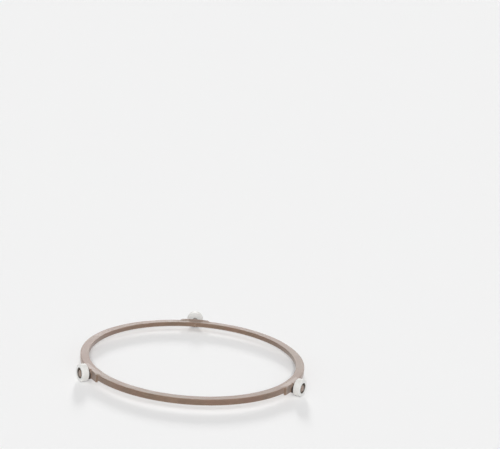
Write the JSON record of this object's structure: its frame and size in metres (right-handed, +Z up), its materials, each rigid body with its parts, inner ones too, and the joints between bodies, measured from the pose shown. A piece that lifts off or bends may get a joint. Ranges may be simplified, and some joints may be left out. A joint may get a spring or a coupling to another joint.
{
  "type": "microwave roller ring",
  "caption": "Flat brown plastic ring with white rollers on stub axles round its rim; runs on a microwave oven's floor and carries the turning glass plate.",
  "frame": {"origin": "on the ring's axis, at the level of the floor that the rollers run on", "axes": "+Z up along the ring's axis, +Y towards the roller at the rear, +X to the right seen from the front"},
  "size_m": [0.2, 0.2103, 0.015],
  "materials": {
    "ring_plastic": "brown heat-proof moulding, satin",
    "roller_plastic": "white low-friction moulding, satin"
  },
  "bodies": {
    "ring": {"roller_ring": "ring_plastic"},
    "rear_roller": {"roller_rear": "roller_plastic"},
    "left_roller": {"roller_left": "roller_plastic"},
    "right_roller": {"roller_right": "roller_plastic"}
  },
  "joints": [
    {"name": "rear_axle", "type": "hinge", "parent": "ring", "child": "rear_roller", "pos_m": [0, 0.10735, 0.0075], "axis": [0, 1, 0], "continuous": true},
    {"name": "left_axle", "type": "hinge", "parent": "ring", "child": "left_roller", "pos_m": [-0.09297, -0.05368, 0.0075], "axis": [-0.866, -0.5, 0], "continuous": true},
    {"name": "right_axle", "type": "hinge", "parent": "ring", "child": "right_roller", "pos_m": [0.09297, -0.05368, 0.0075], "axis": [0.866, -0.5, 0], "continuous": true}
  ]
}
